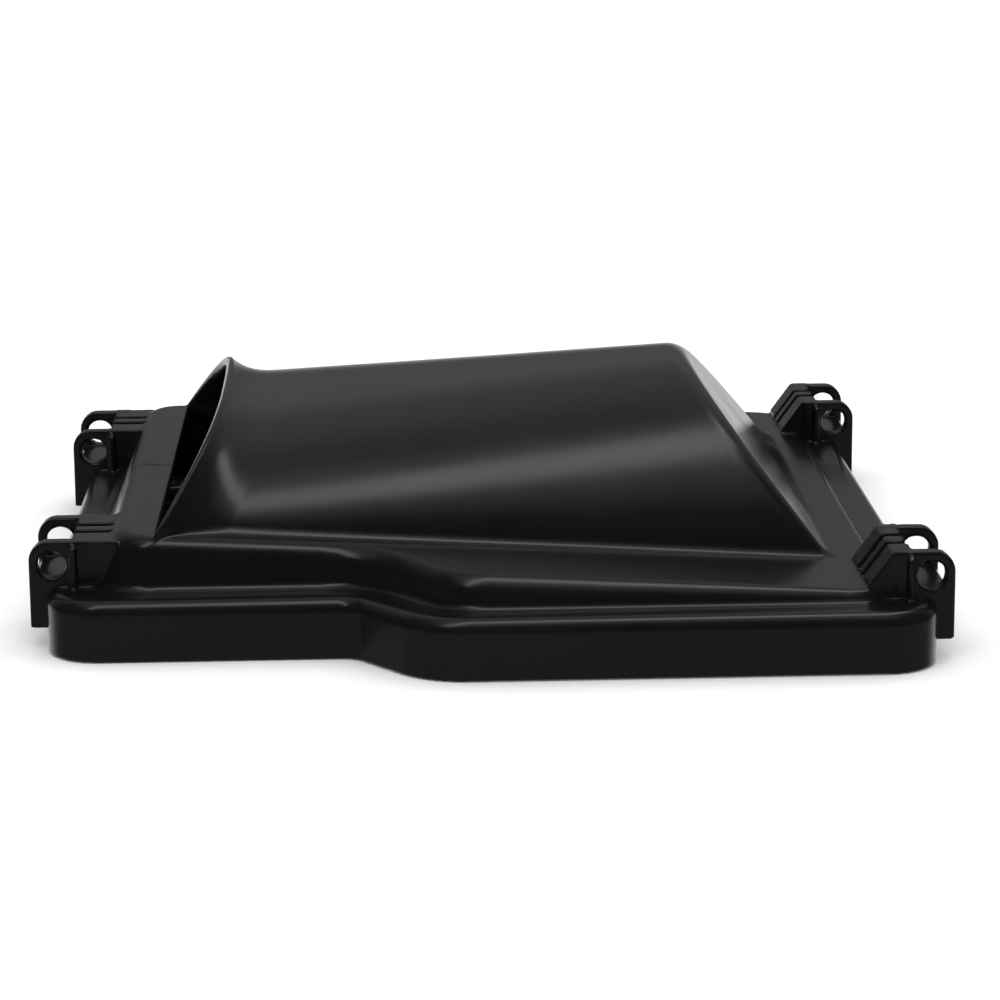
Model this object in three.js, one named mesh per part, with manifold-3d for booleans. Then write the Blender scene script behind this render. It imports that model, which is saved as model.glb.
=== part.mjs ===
// Low-profile air filter housing for a small engine: a ribbed-lug cover with a
// forward-facing scoop, standing on its skirt over a nested base pan that
// carries a panel filter element, a foam pre-cleaner and the seals.
// Units are millimetres. +Z is up, +X runs from the intake mouth towards the
// sloped end of the scoop, and the origin is the centre of the footprint on
// the plane of the skirt's lower edge.
import * as THREE from 'three';
import { mergeVertices } from 'three/addons/utils/BufferGeometryUtils.js';
import Module from 'manifold-3d';

const wasm = await Module();
wasm.setup();

// ---------------------------------------------------------------- dimensions
const HALF_X = 120;            // skirt side faces
const HALF_Y_NARROW = 105.3;   // skirt half width at the mouth end
const HALF_Y_WIDE = 129.5;     // skirt half width at the other end
const JOG_X0 = -36.6;          // where the sloping jog leaves the narrow side
const JOG_X1 = -17.1;          // where it meets the wide side
const SKIRT_TOP = 16.5;        // ledge height
const SKIRT_VERTICAL = 12.5;   // straight part of the skirt
const SHOULDER = SKIRT_TOP - SKIRT_VERTICAL;
const CORNER_R = 15;
const JOG_R_IN = 8;
const JOG_R_OUT = 24;
const WALL = 2.5;

const DECK_Z0 = 25.2;          // deck height at x = 0
const DECK_FALL = 0.058;       // deck falls this much per mm towards +X
const DECK_INSET = { left: 17.4, narrow: 14.6, jog: 14.0, wide: 12.6, right: 11.3 };
const DECK_SPREAD = { left: 2, narrow: 1, jog: 1, wide: 1, right: 1 }; // share of the wall's slope on each side
const DECK_DRAFT = 0.2;        // the deck's walls lean out this much per mm downwards
const DECK_CORNER_R = 11;
const DECK_EDGE_R = 3.5;
const DECK_FOOT_R = 2;

const MOUTH_X = -90.7;         // foot of the mouth plane
const MOUTH_Z = 30.5;
const MOUTH_LEAN = 0.65;       // mm of +X for each mm of height
const SCOOP_HALF = 79.8;       // half width of the scoop at the deck
const CREST_0 = 58.3;          // crest height at x = 0
const CREST_RISE = 0.071;
const SECTION_P = 2.4;
const SECTION_Q = 1.38;
const FLARE_LENGTH = 16;
const FLARE_SIDE = 9.6;
const FLARE_TOP = 4.8;
const FACET_X = 95.7;          // foot of the sloped end facet
const FACET_SLOPE = 1.27;

const LUG_WIDTH = 32;
const EAR_THICK = 4.5;
const EAR_OUT = 125;
const EAR_IN = 113;
const EAR_TOP = 29.3;
const EAR_BOTTOM = 5;
const EAR_CORNER = 5.5;
const PIN_X = 118.7;
const PIN_Z = 22.8;
const PIN_R = 3.95;
const LUG_Y = { right: 98, left: 71.3 };   // lug centres
const WEB_SLOT = 2.5;
const WEB_RIB = 5.4;
const SHELF_TOP = 18.4;        // shelf that joins the two ears of a lug under the pin
const SHELF_BOTTOM = 15.2;
const SHELF_OUT = 124;
const FIN_DEPTH = 2.5;         // upright fins on the outer faces of a lug

const BASE_GAP = 0.7;          // clearance between cover skirt and base pan
const BASE_FLOOR = 3;
const BASE_RIM = 11;
const OUTLET_R = 27;
const ELEMENT_X = 77;          // half lengths of the element frame
const ELEMENT_Y = 66;
const ELEMENT_Z0 = 8.3;
const ELEMENT_Z1 = 31;
const FRAME_RIM = 8;
const PLEATS = 30;
const HOLD_DOWN_X = [-44, 0, 44]; // ribs under the scoop that press on the element frame
const HOLD_DOWN_THICK = 2;
const MOUNTS = [[-96, -68], [-96, 68], [96, -84], [96, 84]];

// ------------------------------------------------------------------- helpers
const material = (color, roughness, metalness = 0) =>
  new THREE.MeshStandardMaterial({ color, roughness, metalness });

const MATERIALS = {
  cover: () => material(0x161717, 0.42),
  base: () => material(0x1b1c1d, 0.5),
  rubber: () => material(0x111111, 0.8),
  seal: () => material(0x1c1c1d, 0.6),
  paper: () => material(0xe8dfc6, 0.9),
  screen: () => material(0xa7abae, 0.4, 0.85),
  foam: () => material(0x3a3c40, 0.95),
  glue: () => material(0xf0e7c8, 0.5),
  steel: () => material(0xb9bcc0, 0.35, 0.9),
};

// Turns a closed geometry into a manifold solid.
function toSolid(geometry) {
  const g = geometry.clone();
  for (const name of Object.keys(g.attributes)) if (name !== 'position') g.deleteAttribute(name);
  const merged = mergeVertices(g, 1e-4);
  const vertProperties = new Float32Array(merged.attributes.position.array);
  const triVerts = new Uint32Array(merged.index.array);
  const mesh = new wasm.Mesh({ numProp: 3, vertProperties, triVerts });
  return new wasm.Manifold(mesh);
}

function toGeometry(manifold) {
  const m = manifold.getMesh();
  const g = new THREE.BufferGeometry();
  const positions = new Float32Array(m.numVert * 3);
  for (let i = 0; i < m.numVert; i++) {
    for (let k = 0; k < 3; k++) positions[3 * i + k] = m.vertProperties[i * m.numProp + k];
  }
  g.setAttribute('position', new THREE.BufferAttribute(positions, 3));
  g.setIndex(new THREE.BufferAttribute(new Uint32Array(m.triVerts), 1));
  g.computeVertexNormals();
  return g;
}

const group = new THREE.Group();
function place(name, geometry, mat) {
  const mesh = new THREE.Mesh(geometry, mat);
  mesh.name = name;
  group.add(mesh);
  return mesh;
}

// Closed skin through rings of the same length, with both ends capped.
// project maps a point of a cap to its two in-plane coordinates.
function loft(rings, project = (p) => [p.x, p.y]) {
  const n = rings[0].length;
  const positions = [];
  for (const ring of rings) for (const p of ring) positions.push(p.x, p.y, p.z);
  const index = [];
  for (let r = 0; r + 1 < rings.length; r++) {
    for (let i = 0; i < n; i++) {
      const j = (i + 1) % n;
      const a = r * n + i, b = r * n + j, c = (r + 1) * n + i, d = (r + 1) * n + j;
      index.push(a, b, d, a, d, c);
    }
  }
  const cap = (ring, offset, flip) => {
    const flat = ring.map((p) => new THREE.Vector2(...project(p)));
    const turned = THREE.ShapeUtils.isClockWise(flat);
    const faces = THREE.ShapeUtils.triangulateShape(flat, []);
    for (const [a, b, c] of faces) {
      if (flip !== turned) index.push(offset + a, offset + c, offset + b);
      else index.push(offset + a, offset + b, offset + c);
    }
  };
  cap(rings[0], 0, true);
  cap(rings[rings.length - 1], (rings.length - 1) * n, false);
  const g = new THREE.BufferGeometry();
  g.setAttribute('position', new THREE.Float32BufferAttribute(positions, 3));
  g.setIndex(index);
  // outward faces: a negative signed volume means every face is turned over
  let volume = 0;
  const v = (i) => new THREE.Vector3(positions[3 * i], positions[3 * i + 1], positions[3 * i + 2]);
  for (let i = 0; i < index.length; i += 3) volume += v(index[i]).dot(v(index[i + 1]).cross(v(index[i + 2])));
  if (volume < 0) for (let i = 0; i < index.length; i += 3) [index[i + 1], index[i + 2]] = [index[i + 2], index[i + 1]];
  g.setIndex(index);
  return g;
}

// Rounded plan outline of the housing, inset by its own distance on each side.
// Every outline has the same number of points, so any two can be lofted.
const ARC = 5;
function outline(inset, cornerR = null) {
  const d = typeof inset === 'number'
    ? { left: inset, narrow: inset, jog: inset, wide: inset, right: inset } : inset;
  const lines = [];
  const addLine = (x0, y0, x1, y1, off) => {
    const len = Math.hypot(x1 - x0, y1 - y0);
    const tx = (x1 - x0) / len, ty = (y1 - y0) / len;
    lines.push({ x: x0 - ty * off, y: y0 + tx * off, tx, ty });   // left side is inside
  };
  const H = HALF_X, N = HALF_Y_NARROW, W = HALF_Y_WIDE;
  const corners = [
    [-H, -N, 1], [JOG_X0, -N, -1], [JOG_X1, -W, 1], [H, -W, 1],
    [H, W, 1], [JOG_X1, W, 1], [JOG_X0, N, -1], [-H, N, 1],
  ];
  const sides = ['narrow', 'jog', 'wide', 'right', 'wide', 'jog', 'narrow', 'left'];
  for (let i = 0; i < 8; i++) {
    const [x0, y0] = corners[i], [x1, y1] = corners[(i + 1) % 8];
    addLine(x0, y0, x1, y1, d[sides[i]]);
  }
  const points = [];
  for (let i = 0; i < 8; i++) {
    const a = lines[(i + 7) % 8], b = lines[i];
    const cross = a.tx * b.ty - a.ty * b.tx;
    const t = ((b.x - a.x) * b.ty - (b.y - a.y) * b.tx) / cross;
    const px = a.x + a.tx * t, py = a.y + a.ty * t;
    const depth = Math.max(d[sides[(i + 7) % 8]], d[sides[i]]);
    const kind = corners[i][2];
    let radius;
    if (i === 1 || i === 6) radius = JOG_R_IN + depth;
    else if (i === 2 || i === 5) radius = Math.max(JOG_R_OUT - depth, 2);
    else radius = cornerR !== null ? cornerR : Math.max(CORNER_R - depth, 2);
    const turn = Math.acos(Math.min(1, Math.max(-1, a.tx * b.tx + a.ty * b.ty)));
    const tangent = radius * Math.tan(turn / 2);
    const nx = -a.ty * kind, ny = a.tx * kind;                     // towards the arc's centre
    const cx = px - a.tx * tangent + nx * radius, cy = py - a.ty * tangent + ny * radius;
    const start = Math.atan2(py - a.ty * tangent - cy, px - a.tx * tangent - cx);
    for (let k = 0; k <= ARC; k++) {
      const angle = start + kind * turn * (k / ARC);
      points.push([cx + radius * Math.cos(angle), cy + radius * Math.sin(angle)]);
    }
  }
  return points;
}
const flatRing = (inset, z, cornerR = null) =>
  outline(inset, cornerR).map(([x, y]) => new THREE.Vector3(x, y, typeof z === 'function' ? z(x) : z));
const grow = (inset, by) => typeof inset === 'number' ? inset + by
  : Object.fromEntries(Object.entries(inset).map(([k, v]) => [k, v + by]));
const prism = (inset, z0, z1) => toSolid(loft([flatRing(inset, z0), flatRing(inset, z1)]));

function box(x0, x1, y0, y1, z0, z1) {
  const g = new THREE.BoxGeometry(x1 - x0, y1 - y0, z1 - z0);
  g.translate((x0 + x1) / 2, (y0 + y1) / 2, (z0 + z1) / 2);
  return g;
}

function roundedPlate(hx, hy, r, z0, z1, cx = 0, cy = 0, segments = 3) {
  const s = new THREE.Shape();
  s.moveTo(cx - hx + r, cy - hy);
  s.lineTo(cx + hx - r, cy - hy); s.absarc(cx + hx - r, cy - hy + r, r, -Math.PI / 2, 0);
  s.lineTo(cx + hx, cy + hy - r); s.absarc(cx + hx - r, cy + hy - r, r, 0, Math.PI / 2);
  s.lineTo(cx - hx + r, cy + hy); s.absarc(cx - hx + r, cy + hy - r, r, Math.PI / 2, Math.PI);
  s.lineTo(cx - hx, cy - hy + r); s.absarc(cx - hx + r, cy - hy + r, r, Math.PI, 1.5 * Math.PI);
  const g = new THREE.ExtrudeGeometry(s, { depth: z1 - z0, bevelEnabled: false, curveSegments: segments });
  g.translate(0, 0, z0);
  return g;
}

function cylinder(r, z0, z1, x = 0, y = 0, segments = 32) {
  const g = new THREE.CylinderGeometry(r, r, z1 - z0, segments);
  g.rotateX(Math.PI / 2);
  g.translate(x, y, (z0 + z1) / 2);
  return g;
}

// Ring of revolution about a vertical axis from a closed profile of [r, z].
function revolved(profile, x, y, segments = 16) {
  const points = [...profile, profile[0]].map(([r, z]) => new THREE.Vector2(r, z));
  const g = new THREE.LatheGeometry(points, segments);
  g.rotateX(Math.PI / 2);
  g.translate(x, y, 0);
  return g;
}

// --------------------------------------------------------------------- cover
const deckZ = (x) => DECK_Z0 - DECK_FALL * x;

function skirtSolid() {
  const rings = [flatRing(0, 0), flatRing(0, SKIRT_VERTICAL)];
  for (let k = 1; k <= 5; k++) {
    const a = (k / 5) * Math.PI / 2;
    rings.push(flatRing(SHOULDER * (1 - Math.cos(a)), SKIRT_VERTICAL + SHOULDER * Math.sin(a)));
  }
  return toSolid(loft(rings));
}

// Deck block with a rounded top edge and a fillet where it meets the ledge.
function deckSolid(extra, drop, withFillets) {
  const base = outline(grow(DECK_INSET, extra), Math.max(DECK_CORNER_R - extra, 2));
  const wider = Object.fromEntries(Object.entries(DECK_INSET).map(([k, v]) => [k, v + extra - DECK_SPREAD[k]]));
  const near = outline(wider, Math.max(DECK_CORNER_R - extra + 1, 2));
  const ring = (out, z) => base.map(([x, y], i) => {
    const o = out(x);
    return new THREE.Vector3(x + (near[i][0] - x) * o, y + (near[i][1] - y) * o, z(x));
  });
  const top = (x) => deckZ(x) - drop;
  if (!withFillets) return toSolid(loft([ring(() => 0, () => -1), ring(() => 0, top)]));
  const height = (x) => Math.max(top(x) - SKIRT_TOP, 0.4);
  const foot = (x) => Math.min(DECK_FOOT_R, 0.4 * height(x));
  const edge = (x) => Math.min(DECK_EDGE_R, 0.55 * height(x));
  const lean = (x, z) => DECK_DRAFT * (top(x) - z);
  const rings = [ring((x) => lean(x, SKIRT_TOP) + foot(x), () => SKIRT_TOP - 1.5)];
  for (let k = 0; k <= 3; k++) {
    const a = (k / 3) * Math.PI / 2;
    const z = (x) => SKIRT_TOP + foot(x) * (1 - Math.cos(a));
    rings.push(ring((x) => lean(x, z(x)) + foot(x) * (1 - Math.sin(a)), z));
  }
  for (let k = 0; k <= 4; k++) {
    const a = (k / 4) * Math.PI / 2;
    const z = (x) => top(x) - edge(x) * (1 - Math.sin(a));
    rings.push(ring((x) => lean(x, z(x)) - edge(x) * (1 - Math.cos(a)), z));
  }
  return toSolid(loft(rings));
}

// Point of the scoop's skin: t runs from the mouth (0) to the end facet (1),
// phi from the near foot (0) over the crest to the far foot (pi).
function scoopPoint(x, phi, mouthX, skin) {
  const s = x - mouthX;
  const f = s < FLARE_LENGTH ? (1 - s / FLARE_LENGTH) ** 2 : 0;
  const half = SCOOP_HALF - skin + FLARE_SIDE * f;
  const zb = deckZ(x);
  const crest = CREST_0 + CREST_RISE * x - skin + FLARE_TOP * f;
  const c = Math.cos(phi), sn = Math.sin(phi);
  return {
    y: -Math.sign(c) * half * Math.abs(c) ** (2 / SECTION_P),
    z: zb + (crest - zb) * Math.abs(sn) ** (2 / SECTION_Q),
  };
}
const SCOOP_PHI = 34;
const SCOOP_T = [0, 0.02, 0.045, 0.07, 0.1, 0.2, 0.4, 0.6, 0.8, 1];
function scoopSolid(skin) {
  const rays = [];
  for (let i = 0; i <= SCOOP_PHI; i++) {
    const phi = (i / SCOOP_PHI) * Math.PI;
    // foot of the ray on the leaning mouth plane, found by iteration
    let mx = MOUTH_X;
    for (let k = 0; k < 60; k++) mx = 0.5 * (mx + MOUTH_X + MOUTH_LEAN * Math.max(0, scoopPoint(mx, phi, mx, skin).z - MOUTH_Z));
    let fx = 80;
    const foot = FACET_X - (skin ? skin * 1.25 : 0);
    for (let k = 0; k < 80; k++) fx = 0.5 * (fx + foot - (scoopPoint(fx, phi, mx, skin).z - deckZ(foot)) / FACET_SLOPE);
    rays.push({ phi, mx, fx });
  }
  const rings = SCOOP_T.map((t, ti) => {
    const ring = rays.map(({ phi, mx, fx }) => {
      const x = mx + (fx - mx) * t;
      const p = scoopPoint(x, phi, mx, skin);
      return new THREE.Vector3(x, p.y, p.z);
    });
    const a = ring[0], b = ring[ring.length - 1];
    ring.push(new THREE.Vector3(b.x, b.y, 15.5), new THREE.Vector3(a.x, a.y, 15.5));
    if (skin && ti === 0) {
      // the hollow runs on through the mouth plane
      for (const p of ring) p.x -= 1.6 * Math.min(1, Math.max(0, (p.z - MOUTH_Z) / 3)) - 0.4;
    }
    return ring;
  });
  return toSolid(loft(rings, (p) => [p.y, p.z]));
}

function lugSolids(side, y0) {
  // side is +1 or -1 along X; y0 is the lug's lower Y face
  const solids = [];
  const earShape = new THREE.Shape();
  earShape.moveTo(EAR_IN - 4, SKIRT_TOP - 1);
  earShape.lineTo(HALF_X - 1, SKIRT_TOP - 1);
  earShape.lineTo(HALF_X - 1, EAR_BOTTOM);
  earShape.lineTo(EAR_OUT, EAR_BOTTOM);
  earShape.lineTo(EAR_OUT, EAR_TOP - EAR_CORNER);
  earShape.absarc(EAR_OUT - EAR_CORNER, EAR_TOP - EAR_CORNER, EAR_CORNER, 0, Math.PI / 2);
  earShape.lineTo(EAR_IN - 4, EAR_TOP);
  earShape.closePath();
  const hole = new THREE.Path();
  hole.absarc(PIN_X, PIN_Z, PIN_R, 0, 2 * Math.PI);
  earShape.holes.push(hole);
  const along = (shape, ya, yb, segments = 6) => {
    const g = new THREE.ExtrudeGeometry(shape, { depth: yb - ya, bevelEnabled: false, curveSegments: segments });
    g.rotateX(Math.PI / 2);           // shape XY becomes XZ, depth runs along -Y
    g.translate(0, yb, 0);
    if (side < 0) {
      g.scale(-1, 1, 1);
      const idx = g.index;
      if (idx) throw new Error('indexed');
      const p = g.attributes.position.array;
      for (let i = 0; i < p.length; i += 9) for (let k = 0; k < 3; k++) [p[i + 3 + k], p[i + 6 + k]] = [p[i + 6 + k], p[i + 3 + k]];
    }
    return toSolid(g);
  };
  for (const ya of [y0, y0 + LUG_WIDTH - EAR_THICK]) solids.push(along(earShape, ya, ya + EAR_THICK));
  // webs behind the ears: two wide ones and a narrow rib with slots between
  const web = new THREE.Shape();
  const inner = side > 0 ? 101.8 : 100.5;
  web.moveTo(inner, SKIRT_TOP - 1);
  web.lineTo(EAR_IN + 0.4, SKIRT_TOP - 1);
  web.lineTo(EAR_IN + 0.4, EAR_TOP);
  if (side > 0) { web.lineTo(108.3, EAR_TOP); web.lineTo(inner, 20.4); }
  else web.lineTo(inner, EAR_TOP);
  web.closePath();
  const wide = (LUG_WIDTH - WEB_RIB - 2 * WEB_SLOT) / 2;
  for (const [a, b] of [[0, wide], [wide + WEB_SLOT, wide + WEB_SLOT + WEB_RIB], [LUG_WIDTH - wide, LUG_WIDTH]]) {
    solids.push(along(web, y0 + a, y0 + b));
  }
  // shelf between the ears, just under the pin holes
  const shelf = new THREE.Shape();
  shelf.moveTo(EAR_IN - 1.6, SHELF_BOTTOM); shelf.lineTo(SHELF_OUT, SHELF_BOTTOM);
  shelf.lineTo(SHELF_OUT, SHELF_TOP); shelf.lineTo(EAR_IN - 1.6, SHELF_TOP); shelf.closePath();
  solids.push(along(shelf, y0 + EAR_THICK - 0.2, y0 + LUG_WIDTH - EAR_THICK + 0.2));
  // upright fin on each outer face
  const fin = new THREE.Shape();
  fin.moveTo(EAR_IN - 1.1, SKIRT_TOP - 2.35); fin.lineTo(EAR_IN + 0.8, SKIRT_TOP - 2.35);
  fin.lineTo(EAR_IN + 0.8, EAR_TOP - 0.7); fin.lineTo(EAR_IN - 1.1, EAR_TOP - 0.7); fin.closePath();
  solids.push(along(fin, y0 - FIN_DEPTH, y0 + 0.2));
  solids.push(along(fin, y0 + LUG_WIDTH - 0.2, y0 + LUG_WIDTH + FIN_DEPTH));
  return solids;
}

let cover = skirtSolid().add(deckSolid(0, 0, true)).add(scoopSolid(0));
for (const [side, y] of [[1, LUG_Y.right], [1, -LUG_Y.right], [-1, LUG_Y.left], [-1, -LUG_Y.left]]) {
  for (const s of lugSolids(side, y - LUG_WIDTH / 2)) cover = cover.add(s);
}
cover = cover.subtract(prism(WALL, -1, SKIRT_TOP - WALL));
cover = cover.subtract(deckSolid(WALL, WALL, false));
cover = cover.subtract(scoopSolid(WALL));
// hold-down ribs reach from the scoop's inner wall to just above the element frame
const scoopCore = scoopSolid(1);
for (const x of HOLD_DOWN_X) {
  for (const side of [-1, 1]) {
    const y = [58.8 * side, 82 * side].sort((a, b) => a - b);
    const rib = toSolid(box(x - HOLD_DOWN_THICK / 2, x + HOLD_DOWN_THICK / 2, y[0], y[1], ELEMENT_Z1 + 0.3, 52));
    cover = cover.add(rib.intersect(scoopCore));
  }
}
place('cover', toGeometry(cover), MATERIALS.cover());

// ------------------------------------------------------------------ base pan
const baseInset = WALL + BASE_GAP;
let base = prism(baseInset, 0, BASE_RIM).subtract(prism(baseInset + 2.5, BASE_FLOOR, BASE_RIM - 2.5));
base = base.subtract(prism(baseInset + 7, BASE_FLOOR, BASE_RIM + 1));
// raised seat for the element, around the clean-air chamber
const seat = toSolid(roundedPlate(ELEMENT_X, ELEMENT_Y, 4, BASE_FLOOR - 1, ELEMENT_Z0 - 0.3))
  .subtract(toSolid(roundedPlate(ELEMENT_X - 9, ELEMENT_Y - 9, 3, BASE_FLOOR - 2, ELEMENT_Z0 + 1)));
base = base.add(seat);
base = base.add(toSolid(cylinder(OUTLET_R + 9, 1, 5, 0, 0, 36)));
for (const [x, y] of MOUNTS) base = base.add(toSolid(cylinder(13, 1, 6, x, y, 20)));
base = base.subtract(toSolid(cylinder(OUTLET_R, -1, 6, 0, 0, 36)));
base = base.subtract(toSolid(revolved([[OUTLET_R + 1.8, -1], [OUTLET_R + 6.4, -1], [OUTLET_R + 6.4, 2.5], [OUTLET_R + 1.8, 2.5]], 0, 0, 36)));
for (const [x, y] of MOUNTS) {
  base = base.subtract(toSolid(cylinder(10.2, -1, 2.3, x, y, 20)));
  base = base.subtract(toSolid(cylinder(7, -1, 7, x, y, 20)));
}
place('base_pan', toGeometry(base), MATERIALS.base());

// --------------------------------------------------------------------- seals
place('cover_gasket', toGeometry(prism(baseInset + 0.9, BASE_RIM + 0.3, SKIRT_TOP - WALL - 0.3)
  .subtract(prism(baseInset + 5.9, 0, SKIRT_TOP))), MATERIALS.rubber());
place('outlet_seal', revolved([[OUTLET_R + 2.1, 0.2], [OUTLET_R + 6.1, 0.2], [OUTLET_R + 6.1, 2.2], [OUTLET_R + 2.1, 2.2]], 0, 0, 36), MATERIALS.rubber());
MOUNTS.forEach(([x, y], i) => {
  place(`grommet_${i + 1}`, revolved([[4.8, 0.2], [9.6, 0.2], [9.8, 2.0], [6.7, 2.0], [6.7, 6.3], [9.8, 6.3], [9.6, 8.1], [4.8, 8.1]], x, y), MATERIALS.rubber());
  place(`sleeve_${i + 1}`, revolved([[3.3, 0.2], [4.5, 0.2], [4.5, 8.4], [8.0, 8.4], [8.0, 9.6], [3.3, 9.6]], x, y), MATERIALS.steel());
});

// ------------------------------------------------------------------- element
const innerX = ELEMENT_X - FRAME_RIM, innerY = ELEMENT_Y - FRAME_RIM;
place('filter_frame', toGeometry(toSolid(roundedPlate(ELEMENT_X, ELEMENT_Y, 5, ELEMENT_Z0, ELEMENT_Z1))
  .subtract(toSolid(roundedPlate(innerX, innerY, 0.5, ELEMENT_Z0 - 1, ELEMENT_Z1 + 1)))), MATERIALS.seal());

const packX = innerX - 0.4, packY = innerY - 0.4;
const PLEAT_Z0 = 9.6, PLEAT_Z1 = 28.4, PAPER = 0.9;
{
  // zigzag ribbon of paper, extruded along Y
  const pitch = (2 * packX - 1.2) / PLEATS;
  const up = [], down = [];
  for (let i = 0; i <= 2 * PLEATS; i++) {
    const x = -packX + 0.6 + (i * pitch) / 2;
    const high = i % 2 === 1;
    up.push([x, high ? PLEAT_Z1 : PLEAT_Z0 + PAPER * 2]);
    down.push([x, high ? PLEAT_Z1 - PAPER * 2 : PLEAT_Z0]);
  }
  const s = new THREE.Shape();
  s.moveTo(...up[0]);
  for (const p of up.slice(1)) s.lineTo(...p);
  for (const p of down.reverse()) s.lineTo(...p);
  s.closePath();
  const g = new THREE.ExtrudeGeometry(s, { depth: 2 * packY, bevelEnabled: false });
  g.rotateX(Math.PI / 2);
  g.translate(0, packY, 0);
  place('filter_media', g, MATERIALS.paper());
}

function screen(z0, z1) {
  const nx = 8, ny = 7, bar = 2;
  const px = (2 * packX - bar) / nx, py = (2 * packY - bar) / ny;
  let grid = null;
  const join = (g) => { grid = grid ? grid.add(toSolid(g)) : toSolid(g); };
  for (let i = 0; i <= nx; i++) join(box(-packX + i * px, -packX + i * px + bar, -packY, packY, z0, z1));
  for (let j = 0; j <= ny; j++) join(box(-packX + 0.2, packX - 0.2, -packY + 0.1 + j * py * 0.998, -packY + 0.1 + j * py * 0.998 + bar, z0 + 0.15, z1 - 0.15));
  return toGeometry(grid);
}
place('lower_screen', screen(8.5, 9.3), MATERIALS.screen());
place('upper_screen', screen(29.8, 30.6), MATERIALS.screen());
[-29, 0, 29].forEach((y, i) => place(`spacer_bead_${i + 1}`, box(-packX + 1, packX - 1, y - 1.3, y + 1.3, 28.7, 29.5), MATERIALS.glue()));

// --------------------------------------------------------------- pre-cleaner
place('pre_cleaner', toGeometry(toSolid(roundedPlate(72, 57.5, 8, ELEMENT_Z1 + 0.3, ELEMENT_Z1 + 7.3, 0, 0, 4))), MATERIALS.foam());

export default group;
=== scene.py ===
import bpy, bmesh, math
import numpy as np
from mathutils import Vector, Matrix


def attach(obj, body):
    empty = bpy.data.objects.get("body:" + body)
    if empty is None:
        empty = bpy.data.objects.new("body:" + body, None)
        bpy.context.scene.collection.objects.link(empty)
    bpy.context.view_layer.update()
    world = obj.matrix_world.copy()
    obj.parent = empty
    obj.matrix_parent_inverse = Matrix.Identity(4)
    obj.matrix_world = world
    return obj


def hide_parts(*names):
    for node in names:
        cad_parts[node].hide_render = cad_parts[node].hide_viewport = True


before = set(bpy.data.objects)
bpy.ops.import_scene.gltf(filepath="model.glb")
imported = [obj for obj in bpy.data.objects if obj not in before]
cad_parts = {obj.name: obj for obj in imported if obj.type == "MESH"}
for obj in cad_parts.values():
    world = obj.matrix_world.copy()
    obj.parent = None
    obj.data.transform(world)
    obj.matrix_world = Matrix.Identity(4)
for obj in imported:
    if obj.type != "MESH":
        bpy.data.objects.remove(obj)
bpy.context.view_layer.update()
MM = 0.001
scene = bpy.context.scene

# ----------------------------------------------------------------- the camera
def add_camera():
    el, yaw, roll = (math.radians(v) for v in (13.475, 2.068, -0.4514))
    fwd = Vector((math.sin(yaw) * math.cos(el), math.cos(yaw) * math.cos(el), -math.sin(el)))
    right = Vector((math.cos(yaw), -math.sin(yaw), 0.0))
    up = right.cross(fwd)
    r2 = math.cos(roll) * right + math.sin(roll) * up
    u2 = -math.sin(roll) * right + math.cos(roll) * up
    cam = bpy.data.cameras.new("camera")
    cam.sensor_width = 36.0
    cam.lens = 3.339 * 36.0
    cam.clip_end = 50.0
    cam.clip_start = 0.05
    ob = bpy.data.objects.new("camera", cam)
    m = Matrix((( r2.x, u2.x, -fwd.x, -0.02802),
                ( r2.y, u2.y, -fwd.y, -0.86003 - 0.1136),
                ( r2.z, u2.z, -fwd.z, 0.24666 + 0.005),
                (0, 0, 0, 1)))
    ob.matrix_world = m
    scene.collection.objects.link(ob)
    scene.camera = ob
    return ob
add_camera()

# ------------------------------------------------------ signed distance tools
def cmax(a, b, r):
    """intersection with a rounded edge of radius r"""
    return np.minimum(-r, np.maximum(a, b)) + np.sqrt(np.maximum(a + r, 0) ** 2 + np.maximum(b + r, 0) ** 2)

def cmin(a, b, r):
    """union with a fillet of radius r"""
    return np.maximum(r, np.minimum(a, b)) - np.sqrt(np.maximum(r - a, 0) ** 2 + np.maximum(r - b, 0) ** 2)

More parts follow.
